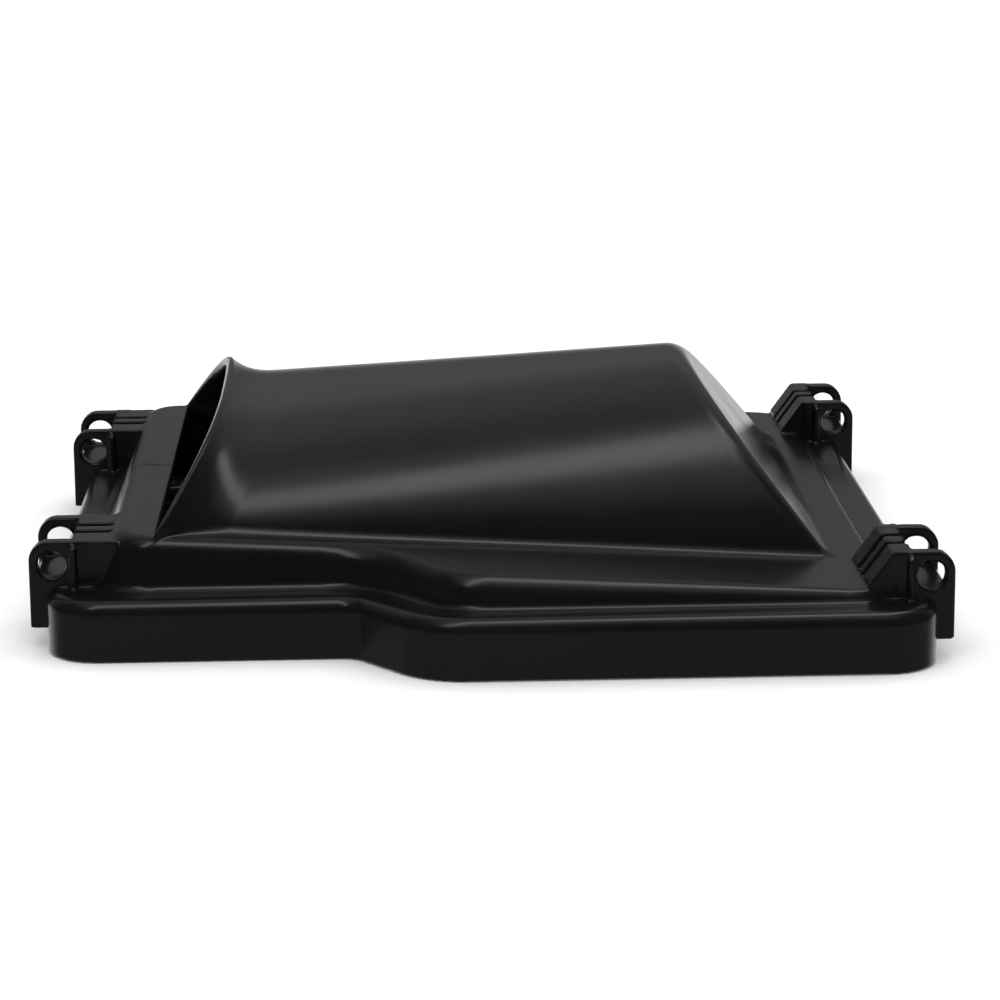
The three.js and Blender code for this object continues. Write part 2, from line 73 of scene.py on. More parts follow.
class Outline:
    """The plan outline of lines and arcs, inset by its own distance on each side."""
    H, N, W, J0, J1 = 120.0, 105.3, 129.5, -36.6, -17.1
    def __init__(self, left, narrow, jog, wide, right, corner, soft=(0.0, 0.0)):
        H, N, W, J0, J1 = self.H, self.N, self.W, self.J0, self.J1
        corners = [(-H, -N, 1), (J0, -N, -1), (J1, -W, 1), (H, -W, 1), (H, W, 1), (J1, W, 1), (J0, N, -1), (-H, N, 1)]
        off = [narrow, jog, wide, right, wide, jog, narrow, left]
        lines = []
        for i in range(8):
            x0, y0, _ = corners[i]; x1, y1, _ = corners[(i + 1) % 8]
            l = math.hypot(x1 - x0, y1 - y0); tx, ty = (x1 - x0) / l, (y1 - y0) / l
            lines.append((x0 - ty * off[i], y0 + tx * off[i], tx, ty))
        arcs, ends = [], []
        for i in range(8):
            a, b = lines[i - 1], lines[i]
            cr = a[2] * b[3] - a[3] * b[2]
            t = ((b[0] - a[0]) * b[3] - (b[1] - a[1]) * b[2]) / cr
            px, py = a[0] + a[2] * t, a[1] + a[3] * t
            depth = max(off[i - 1], off[i])
            kind = corners[i][2]
            if i in (1, 6): r = 8 + depth + soft[0]
            elif i in (2, 5): r = max(24 - depth, 2) + soft[1]
            else: r = corner
            turn = math.acos(max(-1, min(1, a[2] * b[2] + a[3] * b[3])))
            tan = r * math.tan(turn / 2)
            nx, ny = -a[3] * kind, a[2] * kind
            s = (px - a[2] * tan, py - a[3] * tan)
            e = (px + b[2] * tan, py + b[3] * tan)
            c = (s[0] + nx * r, s[1] + ny * r)
            arcs.append((c, r, kind, s, e)); ends.append((s, e))
        self.arcs = arcs
        self.segs = [(ends[i][1], ends[(i + 1) % 8][0]) for i in range(8)]
    def dist(self, x, y):
        best = np.full(x.shape, 1e9); sign = np.ones(x.shape)
        for (ax, ay), (bx, by) in self.segs:
            l = math.hypot(bx - ax, by - ay)
            if l < 1e-6: continue
            tx, ty = (bx - ax) / l, (by - ay) / l
            t = np.clip((x - ax) * tx + (y - ay) * ty, 0, l)
            d = np.hypot(x - ax - t * tx, y - ay - t * ty)
            s = (x - ax) * ty - (y - ay) * tx
            k = d < best
            best = np.where(k, d, best); sign = np.where(k, np.sign(s), sign)
        for (cx, cy), r, kind, s, e in self.arcs:
            vx, vy = x - cx, y - cy
            rr = np.hypot(vx, vy)
            sx, sy, ex, ey = s[0] - cx, s[1] - cy, e[0] - cx, e[1] - cy
            inside = ((sx * vy - sy * vx) * kind >= 0) & ((vx * ey - vy * ex) * kind >= 0)
            d = np.where(inside, np.abs(rr - r), 1e9)
            k = d < best
            best = np.where(k, d, best); sign = np.where(k, np.sign(rr - r) * kind, sign)
        return best * sign

WALL = 2.5
SKIRT = Outline(0, 0, 0, 0, 0, 15.0)
SKIRT_IN = Outline(WALL, WALL, WALL, WALL, WALL, 12.5)
DECK = Outline(17.4, 15.0, 14.0, 12.6, 11.3, 12.0, (8.0, 8.0))
DECK_IN = Outline(17.4 + WALL, 15.0 + WALL, 14.0 + WALL, 12.6 + WALL, 11.3 + WALL, 9.5, (8.0, 8.0))
LEDGE = 16.5

def deck_z(x): return 25.2 - 0.058 * x
DECK_COS = 1 / math.sqrt(1 + 0.058 ** 2)
MOUTH_X, MOUTH_Z, LEAN = -90.7, 30.5, 0.65
LEAN_N = 1 / math.sqrt(1 + LEAN ** 2)
FACET_X, FACET_SLOPE = 95.7, 1.27
FACET_N = 1 / math.sqrt(1 + FACET_SLOPE ** 2)
SP, SQ = 2.4, 1.38

def scoop_wall(x, y, z, skin):
    """distance to the scoop's section surface, from its implicit form over its gradient"""
    xm = MOUTH_X + LEAN * np.clip(z - MOUTH_Z, 0, 40)
    s = np.clip((x - xm) / 16.0, 0, 1)
    f = (1 - s) ** 2
    crest = 58.3 + 0.071 * x + 5.5 * f - 0.009 * np.clip(70.0 - x, 0, 170) - skin
    zb = deck_z(x)
    H = np.maximum(crest - zb, 5.0)
    ay = np.abs(y)
    h = np.maximum(z - zb, 0.0)
    # the scoop grows a little wider towards the mouth
    t = np.clip((40.0 - x) / 130.0, 0, 1)
    half = 79.8 + 2.0 * t * t * (3 - 2 * t) + 7.6 * (1 - np.clip((x - xm) / 20.0, 0, 1)) ** 1.8 - skin
    # level-set value and gradient of (y/half)^p + (h/H)^q = 1
    u = ay / half; v = h / H
    # the shoulder grows fuller, evenly, from the facet to the mouth
    P = SP + 0.0062 * np.clip(70.0 - x, 0, 170)
    Q = SQ
    g = u ** P + v ** Q
    gy = P * u ** (P - 1) / half
    gz = Q * np.maximum(v, 1e-4) ** (Q - 1) / H
    gz = np.where(z > zb, gz, 0.0)
    # the radial form keeps the field even far from the surface
    k = np.maximum(g, 1e-6) ** (1 / 1.9)
    kg = (1 / 1.9) * np.maximum(g, 1e-6) ** (1 / 1.9 - 1)
    grad = np.sqrt(gy * gy + gz * gz) * kg
    return (k - 1) / np.maximum(grad, 1 / 160.0)

def lug(x, y, z, side, yc):
    X = x * side; Y = np.abs(y - yc)
    top = cmax(X - 125.0, z - 29.3, 5.5)
    a = np.maximum(top, np.maximum(109.0 - X, 16.0 - z))
    b = cmax(top, cmax(119.0 - X, 5.0 - z, 0.4), 0.4)
    ear = np.minimum(a, b)
    hole = 3.95 - np.hypot(X - 118.7, z - 22.8)
    ear = cmax(ear, hole, 0.2)
    ear = cmax(ear, np.abs(Y - 13.75) - 2.25, 0.4)
    if side > 0:
        w = np.maximum(101.8 - X, (-(X - 108.3) * 8.9 + (z - 29.3) * 6.5) / 11.02)
    else:
        w = 100.5 - X
    w = cmax(w, z - 29.3, 0.5)
    w = np.maximum(w, np.maximum(X - 113.4, 16.5 - z))
    slabs = np.minimum(np.abs(Y - 10.72) - 5.28, Y - 2.5)
    web = cmax(w, slabs, 0.35)
    out = cmin(ear, web, 0.5)
    shelf = np.maximum(cmax(X - 124.0, cmax(z - 18.4, 15.2 - z, 0.3), 0.5), np.maximum(111.4 - X, Y - 12.0))
    out = cmin(out, shelf, 0.35)
    fin = cmax(np.abs(X - 112.9) - 0.9, cmax(z - 28.6 + 0.45 * np.maximum(Y - 16.2, 0), Y - 18.5, 0.4), 0.35)
    fin = np.maximum(fin, np.maximum(14.1 - z, 15.6 - Y))
    return cmin(out, fin, 0.35)

LUGS = [(1, 98.0), (1, -98.0), (-1, 71.3), (-1, -71.3)]

def cover_field(x, y, z, d0, d0i, d1, d1i, lean):
    """signed distance of the cover in mm; d0.. are the plan distances at (x, y)"""
    hgt = np.maximum(deck_z(x) - LEDGE, 0.4)
    r_edge = np.clip(1.5 + 0.5 * hgt, 2.6, 5.0) - 1.2 * np.clip((-x - 30.0) / 12.0, 0, 1)
    r_foot = np.clip(1.0 + 0.12 * hgt, 1.2, 2.4)
    S = cmax(d0, z - LEDGE, 4.0)
    S = cmax(S, -z, 0.5)
    draft = (0.2 + 0.2 * lean) * np.clip(deck_z(x) - z, 0, 15)
    D = cmax((d1 - draft) * (0.98 - 0.05 * lean), (z - deck_z(x)) * DECK_COS, r_edge)
    SD = cmin(S, np.maximum(D, 12.0 - z), r_foot)
    # faint mould line across the strip in front of the mouth
    if np.any(x < -88):
        SD = SD + 0.22 * np.exp(-(y / 0.55) ** 2) * ((x < -90.0) & (z > 20))
    # hollow
    Hs = np.maximum(d0i, z - (LEDGE - WALL))
    Hd = cmax(d1i, (z - deck_z(x) + WALL) * DECK_COS, 1.2)
    W = scoop_wall(x, y, z, 0.0)
    fac = (z - deck_z(FACET_X) - FACET_SLOPE * (FACET_X - x)) * FACET_N
    up = np.clip((z - 31.1) / 3.0, 0, 1)
    xin = MOUTH_X + 0.3 + LEAN * np.maximum(z - 31.1, 0) - 3.0 * up
    Ht = cmax(cmax(W + WALL, fac + WALL, 4.0), (xin - x) * LEAN_N, 0.3)
    H = np.minimum(np.minimum(Hs, Hd), Ht)
    # hold-down ribs left standing in the hollow
    inner = np.maximum(58.8 - np.abs(y), 31.3 - z)
    for xc in (-44.0, 0.0, 44.0):
        rib = cmax(np.abs(x - xc) - 1.0, inner, 0.4)
        H = np.where(np.abs(x - xc) < 6.0, cmax(H, -rib, 0.6), H)
    xm = MOUTH_X + LEAN * (z - MOUTH_Z)
    T = cmax(W, fac, 3.6)
    T = cmax(T, (xm - x) * LEAN_N, 1.1)
    T = np.maximum(T, 14.0 - z)
    a = cmax(SD, -H, 0.5)
    b = cmax(T, -H, 0.7)
    F = cmin(a, b, 0.6 + 1.8 * np.clip((x + 88.0) / 8.0, 0, 1))
    near = (np.abs(x) > 99.0)
    if np.any(near):
        xs, ys, zs = (v[near] if np.ndim(v) else v for v in (x, y, z))
        fn = F[near]
        for side, yc in LUGS:
            pick = (xs * side > 99.0) & (np.abs(ys - yc) < 21.0)
            if np.any(pick):
                g = lug(xs[pick], ys[pick], zs[pick] if np.ndim(zs) else zs, side, yc)
                # the webs and ears stop at the inside of the walls
                hol = H[near][pick]
                g = cmax(g, -hol, 0.3)
                fn[pick] = cmin(fn[pick], g, 0.8)
        F[near] = fn
    return F

def plan_fields(x, y):
    d1 = DECK.dist(x, y)
    # how squarely the nearest deck wall faces the mouth end; those walls lean more
    lean = np.zeros(x.shape)
    w = x < -70.0
    if np.any(w): lean[w] = np.clip((DECK.dist(x[w] - 0.5, y[w]) - DECK.dist(x[w] + 0.5, y[w])), 0, 1)
    return SKIRT.dist(x, y), SKIRT_IN.dist(x, y), d1, DECK_IN.dist(x, y), lean

def cover_at(p):
    x, y, z = p[:, 0].copy(), p[:, 1].copy(), p[:, 2].copy()
    return cover_field(x, y, z, *plan_fields(x, y))

def grid_field(fn, lo, hi, h, plan=None):
    n = [int(math.ceil((hi[i] - lo[i]) / h)) + 1 for i in range(3)]
    ax = [lo[i] + h * np.arange(n[i]) for i in range(3)]
    X, Y = np.meshgrid(ax[0], ax[1], indexing="ij")
    out = np.empty(n, np.float32)
    extra = plan(X, Y) if plan else ()
    for k, z in enumerate(ax[2]):
        out[:, :, k] = fn(X, Y, np.full(X.shape, z), *extra)
    return out, np.array(lo, float), h

def surface_net(f, lo, h):
    """Closed quad mesh of f = 0 by surface nets; f must be positive on the grid's border."""
    ins = f < 0
    nx, ny, nz = f.shape
    c = np.zeros((nx - 1, ny - 1, nz - 1), np.uint8)
    for dx in (0, 1):
        for dy in (0, 1):
            for dz in (0, 1):
                c += ins[dx:nx - 1 + dx, dy:ny - 1 + dy, dz:nz - 1 + dz]
    act = np.argwhere((c > 0) & (c < 8))
    idx = np.full(c.shape, -1, np.int32)
    idx[act[:, 0], act[:, 1], act[:, 2]] = np.arange(len(act))
    corners = np.array([[i, j, k] for i in (0, 1) for j in (0, 1) for k in (0, 1)])
    val = {tuple(o): f[act[:, 0] + o[0], act[:, 1] + o[1], act[:, 2] + o[2]].astype(float) for o in corners}
    acc = np.zeros((len(act), 3)); cnt = np.zeros(len(act))
    for a in range(3):
        for o in corners:
            if o[a]: continue
            o2 = o.copy(); o2[a] = 1
            v0, v1 = val[tuple(o)], val[tuple(o2)]
            m = (v0 < 0) != (v1 < 0)
            t = np.where(m, v0 / np.where(v0 == v1, 1, v0 - v1), 0)
            p = np.tile(o.astype(float), (len(act), 1)); p[:, a] += t
            acc += np.where(m[:, None], p, 0); cnt += m
    verts = (act + acc / cnt[:, None]) * h + lo
    quads = []
    for a in range(3):
        b, d = (a + 1) % 3, (a + 2) % 3
        s0 = [slice(1, -1)] * 3; s0[a] = slice(0, -1); s1 = list(s0); s1[a] = slice(1, None)
        m0, m1 = ins[tuple(s0)], ins[tuple(s1)]
        e = np.argwhere(m0 != m1)
        flip = m1[e[:, 0], e[:, 1], e[:, 2]]
        pos = e.copy(); pos[:, b] += 1; pos[:, d] += 1
        def cell(ob, od):
            q = pos.copy(); q[:, b] += ob; q[:, d] += od
            return idx[q[:, 0], q[:, 1], q[:, 2]]
        q = np.stack([cell(-1, -1), cell(0, -1), cell(0, 0), cell(-1, 0)], 1)
        q[flip] = q[flip][:, ::-1]
        quads.append(q)
    return verts, np.concatenate(quads)

def gradient(at, p, e=0.05):
    k = np.array([[1, -1, -1], [-1, -1, 1], [-1, 1, -1], [1, 1, 1]], float)
    g = np.zeros_like(p); mean = 0
    for d in k:
        v = at(p + d * e)
        g += d * v[:, None]; mean = mean + v
    return g / (4 * e), mean / 4

def project(at, p, steps=2, limit=0.35):
    for _ in range(steps):
        g, v = gradient(at, p)
        n2 = np.maximum((g * g).sum(1), 0.15)
        step = -(v / n2)[:, None] * g
        l = np.linalg.norm(step, axis=1)
        step *= np.minimum(1, limit / np.maximum(l, 1e-9))[:, None]
        p = p + step
    return p

def mesh_object(name, verts, faces, mats=()):
    me = bpy.data.meshes.new(name)
    verts = np.asarray(verts, float)
    faces = np.asarray(faces)
    me.vertices.add(len(verts)); me.vertices.foreach_set("co", (verts * MM).astype(np.float32).ravel())
    n = faces.shape[1]
    me.loops.add(faces.size); me.loops.foreach_set("vertex_index", faces.astype(np.int32).ravel())
    me.polygons.add(len(faces)); me.polygons.foreach_set("loop_start", (np.arange(len(faces)) * n).astype(np.int32))
    me.polygons.foreach_set("loop_total", np.full(len(faces), n, np.int32))
    me.update(); me.validate()
    me.shade_smooth()
    ob = bpy.data.objects.new(name, me)
    scene.collection.objects.link(ob)
    for m in mats: me.materials.append(m)
    return ob

def modifier_applied(ob, kind, **kw):
    m = ob.modifiers.new(kind.lower(), kind)
    for k, v in kw.items(): setattr(m, k, v)
    dg = bpy.context.evaluated_depsgraph_get()
    new = bpy.data.meshes.new_from_object(ob.evaluated_get(dg))
    ob.modifiers.clear()
    old = ob.data; ob.data = new; bpy.data.meshes.remove(old)
    return ob

def coords(ob):
    v = np.empty(len(ob.data.vertices) * 3, np.float32)
    ob.data.vertices.foreach_get("co", v)
    return v.reshape(-1, 3).astype(float) / MM

def field_object(name, fn, at, lo, hi, h, plan=None, faces=None, mats=()):
    f, lo, h = grid_field(fn, lo, hi, h, plan)
    v, q = surface_net(f, lo, h)
    v = project(at, v)
    ob = mesh_object(name, v, q, mats)
    if faces and len(q) * 2 > faces:
        modifier_applied(ob, "DECIMATE", ratio=faces / (len(q) * 2.0))
        p = project(at, coords(ob), 1, 0.1)
        ob.data.vertices.foreach_set("co", (p * MM).astype(np.float32).ravel())
    ob.data.shade_smooth()
    p = coords(ob)
    g, _ = gradient(at, p, 0.08)
    g /= np.maximum(np.linalg.norm(g, axis=1), 1e-9)[:, None]
    nv = np.empty(len(p) * 3, np.float32)
    ob.data.vertices.foreach_get("normal", nv)
    nv = nv.reshape(-1, 3).astype(float)
    off = (g * nv).sum(1)
    w = np.clip((off - 0.70) / 0.2, 0, 1)[:, None]
    g = g * w + nv * (1 - w)
    g /= np.maximum(np.linalg.norm(g, axis=1), 1e-9)[:, None]
    ob.data.normals_split_custom_set_from_vertices(g.astype(np.float32))
    ob.data.update()
    return ob

# ------------------------------------------------------------------ materials
def nodes_of(name):
    m = bpy.data.materials.new(name); m.use_nodes = True
    nt = m.node_tree
    return m, nt, nt.nodes["Principled BSDF"]

class Mat:
    """A Principled material built from object-space procedural detail."""
    def __init__(self, name):
        self.m, self.nt, self.b = nodes_of(name)
        self.tc = self.nt.nodes.new("ShaderNodeTexCoord")
        self.height = None
    def node(self, kind, **kw):
        n = self.nt.nodes.new(kind)
        for k, v in kw.items(): setattr(n, k, v)
        return n
    def link(self, a, b): self.nt.links.new(a, b)
    def coord(self, scale=(1, 1, 1)):
        if scale == (1, 1, 1): return self.tc.outputs["Object"]
        mp = self.node("ShaderNodeMapping"); mp.inputs["Scale"].default_value = scale
        self.link(self.tc.outputs["Object"], mp.inputs["Vector"])
        return mp.outputs["Vector"]
    def noise(self, scale, detail=3, rough=0.55, stretch=(1, 1, 1)):
        n = self.node("ShaderNodeTexNoise")
        n.inputs["Scale"].default_value = scale; n.inputs["Detail"].default_value = detail
        n.inputs["Roughness"].default_value = rough
        self.link(self.coord(stretch), n.inputs["Vector"])
        return n.outputs["Fac"]
    def cells(self, scale, feature="F1", randomness=1.0, stretch=(1, 1, 1)):
        n = self.node("ShaderNodeTexVoronoi", feature=feature)
        n.inputs["Scale"].default_value = scale
        n.inputs["Randomness"].default_value = randomness
        self.link(self.coord(stretch), n.inputs["Vector"])
        return n.outputs["Distance"]
    def remap(self, v, a, b, c, d):
        n = self.node("ShaderNodeMapRange")
        for k, x in zip(("From Min", "From Max", "To Min", "To Max"), (a, b, c, d)): n.inputs[k].default_value = x
        self.link(v, n.inputs["Value"])
        return n.outputs["Result"]
    def mix(self, fac, c1, c2, mode="MIX"):
        n = self.node("ShaderNodeMixRGB", blend_type=mode)
        for k, c in (("Color1", c1), ("Color2", c2)):
            if isinstance(c, tuple): n.inputs[k].default_value = (*c[:3], 1)
            else: self.link(c, n.inputs[k])
        if isinstance(fac, float): n.inputs["Fac"].default_value = fac
        else: self.link(fac, n.inputs["Fac"])
        return n.outputs["Color"]
    def color(self, c): self.link(c, self.b.inputs["Base Color"])
    def rough(self, v): self.link(v, self.b.inputs["Roughness"])
    def bump(self, v, strength, distance):
        n = self.node("ShaderNodeBump")
        n.inputs["Strength"].default_value = strength; n.inputs["Distance"].default_value = distance
        self.link(v, n.inputs["Height"])
        if self.height is not None: self.link(self.height, n.inputs["Normal"])
        self.height = n.outputs["Normal"]
        self.link(self.height, self.b.inputs["Normal"])
    def set(self, **kw):
        for k, v in kw.items(): self.b.inputs[k.replace("_", " ")].default_value = v
        return self

def plastic(name, dark, light, rough, grain=3200, bump=0.10, broad=26):
    """Satin moulded plastic: fine spark-eroded grain and broad flow variation."""
    a = Mat(name)
    fine = a.noise(grain, 2); flow = a.noise(broad, 4); mid = a.noise(420, 3)
    a.color(a.mix(a.remap(fine, 0.35, 0.72, 0.0, 1.0), dark, a.mix(a.remap(flow, 0.35, 0.7, 0, 1), light, tuple(c * 1.5 for c in light))))
    r = a.node("ShaderNodeMath", operation="ADD")
    a.link(a.remap(flow, 0.3, 0.7, rough - 0.025, rough + 0.03), r.inputs[0])
    a.link(a.remap(mid, 0.3, 0.7, -0.012, 0.012), r.inputs[1])
    a.rough(r.outputs[0])
    a.bump(mid, 0.05, 0.0001)
    a.bump(fine, bump, 0.00006)
    a.set(IOR=1.5)
    return a.m

def rubber(name, dark, light, rough=0.62):
    a = Mat(name)
    fine = a.noise(2600, 3); bloom = a.noise(95, 5, 0.65); spots = a.cells(700)
    c = a.mix(a.remap(bloom, 0.42, 0.72, 0, 0.8), dark, light)
    a.color(a.mix(a.remap(spots, 0.0, 0.22, 0.25, 0.0), c, tuple(x * 1.8 for x in light)))
    a.rough(a.remap(bloom, 0.3, 0.7, rough - 0.06, rough + 0.12))
    a.bump(bloom, 0.15, 0.0002)
    a.bump(fine, 0.3, 0.00008)
    a.set(IOR=1.5)
    return a.m

def zinc(name):
    """Bright zinc-plated steel with faint turning marks and a blue-yellow bloom."""
    a = Mat(name)
    bloom = a.noise(160, 4); turning = a.noise(900, 2, 0.5, (0.15, 0.15, 6)); pits = a.cells(1500)
    c = a.mix(a.remap(bloom, 0.35, 0.65, 0, 1), (0.56, 0.58, 0.62), (0.66, 0.65, 0.58))
    a.color(a.mix(a.remap(pits, 0.0, 0.15, 0.5, 0.0), c, (0.30, 0.30, 0.31)))
    a.rough(a.remap(turning, 0.3, 0.7, 0.24, 0.40))
    a.bump(turning, 0.25, 0.00005)
    a.set(Metallic=1.0)
    return a.m

def galvanised(name):
    a = Mat(name)
    flakes = a.cells(620); grey = a.noise(120, 4)
    c = a.mix(a.remap(flakes, 0.1, 0.7, 0, 1), (0.50, 0.52, 0.54), (0.36, 0.37, 0.39))
    a.color(a.mix(a.remap(grey, 0.5, 0.75, 0, 0.6), c, (0.24, 0.24, 0.24)))
    a.rough(a.remap(grey, 0.3, 0.7, 0.30, 0.48))
    a.bump(flakes, 0.12, 0.00006)
    a.set(Metallic=1.0)
    return a.m

def paper(name):
    """Resin-treated filter paper: long fibres, slight blotches, greyer where dust settles."""
    a = Mat(name)
    fibre = a.noise(1900, 5, 0.7, (1, 0.18, 1)); fibre2 = a.noise(2300, 4, 0.7, (0.2, 1, 1)); blot = a.noise(60, 5)
    c = a.mix(a.remap(fibre, 0.35, 0.7, 0, 1), (0.66, 0.56, 0.36), (0.78, 0.70, 0.50))
    c = a.mix(a.remap(fibre2, 0.5, 0.75, 0, 0.5), c, (0.86, 0.80, 0.64))
    a.color(a.mix(a.remap(blot, 0.5, 0.8, 0, 0.35), c, (0.50, 0.41, 0.27)))
    a.rough(a.remap(fibre, 0.3, 0.7, 0.82, 0.95))
    a.bump(fibre, 0.5, 0.0001); a.bump(fibre2, 0.35, 0.0001)
    return a.m

def foam(name):
    """Oiled open-cell foam: pores between fine struts, with painted shade darkening the pores to near black at their
    centres, damp darker patches.
    """
    a = Mat(name)
    pore = a.cells(820, "DISTANCE_TO_EDGE"); pore_shade_cells = a.cells(1350); damp = a.noise(40, 4)
    base = a.mix(a.remap(damp, 0.4, 0.65, 0, 1), (0.060, 0.063, 0.068), (0.032, 0.033, 0.035))
    # painted shade: the cell interiors are darker than the struts, and the pore centres are mixed to near black
    c = a.mix(a.remap(pore, 0.03, 0.16, 0, 1), tuple((0.115, 0.12, 0.127)), base)
    a.color(a.mix(a.remap(pore_shade_cells, 0.1, 0.45, 0.7, 0.0), c, (0.008, 0.008, 0.009)))
    a.rough(a.remap(damp, 0.4, 0.65, 0.9, 0.62))
    a.bump(pore, 0.9, 0.0005); a.bump(pore_shade_cells, 0.6, 0.0004)
    return a.m

def glue(name):
    a = Mat(name)
    n = a.noise(300, 4)
    a.color(a.mix(a.remap(n, 0.35, 0.7, 0, 1), (0.78, 0.68, 0.42), (0.86, 0.79, 0.58)))
    a.rough(a.remap(n, 0.3, 0.7, 0.28, 0.42))
    a.bump(n, 0.2, 0.0002)
    a.set(Subsurface_Weight=0.15, Subsurface_Scale=0.002)
    return a.m

def polyurethane(name):
    """Black cast polyurethane with the fine skin and pinholes of an open mould, the pinholes painted near black as
    painted shade.
    """
    a = Mat(name)
    pin = a.cells(520); skin = a.noise(240, 5); fine = a.noise(2200, 2)
    c = a.mix(a.remap(skin, 0.35, 0.7, 0, 1), (0.0105, 0.0107, 0.011), (0.021, 0.021, 0.022))
    # painted shade: the pinhole centres are mixed to near black
    a.color(a.mix(a.remap(pin, 0.0, 0.12, 0.9, 0.0), c, (0.002, 0.002, 0.002)))
    a.rough(a.remap(skin, 0.3, 0.7, 0.42, 0.6))
    a.bump(skin, 0.18, 0.0003); a.bump(a.remap(pin, 0.0, 0.14, 0.0, 1.0), 0.35, 0.0002); a.bump(fine, 0.2, 0.00006)
    return a.m

M_COVER = plastic("cover_plastic_mat", (0.0028, 0.0029, 0.0029), (0.0042, 0.0042, 0.0042), 0.215)
M_BASE = plastic("base_plastic_mat", (0.0105, 0.0108, 0.0112), (0.017, 0.0174, 0.018), 0.40, 2400, 0.2, 18)
M_RUBBER = rubber("rubber_mat", (0.0075, 0.0075, 0.0078), (0.018, 0.018, 0.0185))
M_PU = polyurethane("seal_mat")
M_PAPER = paper("paper_mat")
M_SCREEN = galvanised("screen_mat")
M_GLUE = glue("glue_mat")
M_FOAM = foam("foam_mat")
M_ZINC = zinc("zinc_mat")

def keep(ob, body, node):
    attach(ob, body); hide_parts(node)
    return ob

# ----------------------------------------------------------------- the cover
H_COVER = 0.85
cover = field_object("cover_shell", cover_field, cover_at, (-127, -132, -2), (127, 132, 65.5), H_COVER,
                     plan=plan_fields, faces=198000, mats=[M_COVER])
keep(cover, "lid", "cover")

# -------------------------------------------------------------- the base pan
def round_rect(x, y, hx, hy, r):
    qx, qy = np.abs(x) - hx + r, np.abs(y) - hy + r
    return np.minimum(np.maximum(qx, qy), 0) + np.hypot(np.maximum(qx, 0), np.maximum(qy, 0)) - r

MOUNTS = [(-96, -68), (-96, 68), (96, -84), (96, 84)]
def base_field(x, y, z, d0):
    body = cmax(d0 + 3.2, np.maximum(z - 11.0, -z), 0.7)
    well = cmax(cmax(d0 + 5.7, z - 8.5, 1.2), 3.0 - z, 1.0)
    way = np.maximum(d0 + 10.2, 3.0 - z)
    F = cmax(body, -np.minimum(well, way), 0.4)
    seat = cmax(cmax(round_rect(x, y, 77, 66, 4), z - 8.0, 1.0), -round_rect(x, y, 68, 57, 3), 1.0)
    seat = np.maximum(seat, 1.0 - z)
    F = cmin(F, seat, 1.0)
    # ribs: radial ones on the chamber floor, short ones outside the seat
    r = np.hypot(x, y)
    boss = cmax(r - 36.0, z - 5.0, 0.8)
    F = cmin(F, np.maximum(boss, 1.0 - z), 0.8)
    fan = np.full(x.shape, 1e3)
    for k in range(12):
        a = math.pi * (k + 0.5) / 6
        along = x * math.cos(a) + y * math.sin(a)
        across = np.abs(-x * math.sin(a) + y * math.cos(a)) - 0.8
        fan = np.minimum(fan, np.maximum(across, -along + 30.0))
    fan = np.maximum(fan, round_rect(x, y, 69, 58, 3))
    gus = np.full(x.shape, 1e3)
    for xc in (-52.0, 4.0, 52.0):
        gus = np.minimum(gus, np.abs(x - xc) - 0.8)
    gus = np.maximum(gus, np.maximum(65.0 - np.abs(y), d0 + 5.0))
    gus2 = np.full(x.shape, 1e3)
    for yc in (-32.0, 0.0, 32.0):
        gus2 = np.minimum(gus2, np.abs(y - yc) - 0.8)
    gus2 = np.maximum(gus2, np.maximum(76.0 - np.abs(x), d0 + 5.0))
    ribs = cmax(np.minimum(fan, np.minimum(gus, gus2)), z - 4.6, 0.4)
    F = cmin(F, np.maximum(ribs, 1.0 - z), 0.6)
    for mx, my in MOUNTS:
        m = np.hypot(x - mx, y - my)
        F = cmin(F, np.maximum(cmax(m - 13.0, z - 6.0, 0.8), 1.0 - z), 1.0)
    F = cmax(F, 27.0 - r, 0.6)
    F = cmax(F, -cmax(np.abs(r - 31.1) - 2.3, z - 2.5, 0.2), 0.3)
    for mx, my in MOUNTS:
        m = np.hypot(x - mx, y - my)
        F = cmax(F, 7.0 - m, 0.3)
        F = cmax(F, -cmax(m - 10.2, z - 2.3, 0.15), 0.25)
    return F
def base_at(p):
    x, y, z = p[:, 0].copy(), p[:, 1].copy(), p[:, 2].copy()
    return base_field(x, y, z, SKIRT.dist(x, y))
base = field_object("base_pan_moulding", base_field, base_at, (-119, -128.5, -2), (119, 128.5, 13.5), 0.9,
                    plan=lambda X, Y: (SKIRT.dist(X, Y),), faces=190000, mats=[M_BASE])
keep(base, "base", "base_pan")

# ------------------------------------------------ swept and turned parts
def rounded(poly, seg=4):
    """closed profile of (u, v, radius) corners turned into points with arcs"""
    out = []
    n = len(poly)
    for i in range(n):
        (ax, ay, _), (bx, by, r), (cx, cy, _) = poly[i - 1], poly[i], poly[(i + 1) % n]
        if r <= 0: out.append((bx, by)); continue
        u = np.array([ax - bx, ay - by], float); v = np.array([cx - bx, cy - by], float)
        lu, lv = np.linalg.norm(u), np.linalg.norm(v); u /= lu; v /= lv
        ang = math.acos(max(-1, min(1, float(u @ v))))
        t = min(r / math.tan(ang / 2), 0.48 * lu, 0.48 * lv)
        rr = t * math.tan(ang / 2)
        mid = (u + v) / np.linalg.norm(u + v)
        c = np.array([bx, by]) + mid * (rr / math.sin(ang / 2))
        p0 = np.array([bx, by]) + u * t - c; p1 = np.array([bx, by]) + v * t - c
        a0, a1 = math.atan2(p0[1], p0[0]), math.atan2(p1[1], p1[0])
        d = (a1 - a0 + math.pi) % (2 * math.pi) - math.pi
        for k in range(seg + 1):
            a = a0 + d * k / seg
            out.append((c[0] + rr * math.cos(a), c[1] + rr * math.sin(a)))
    return out

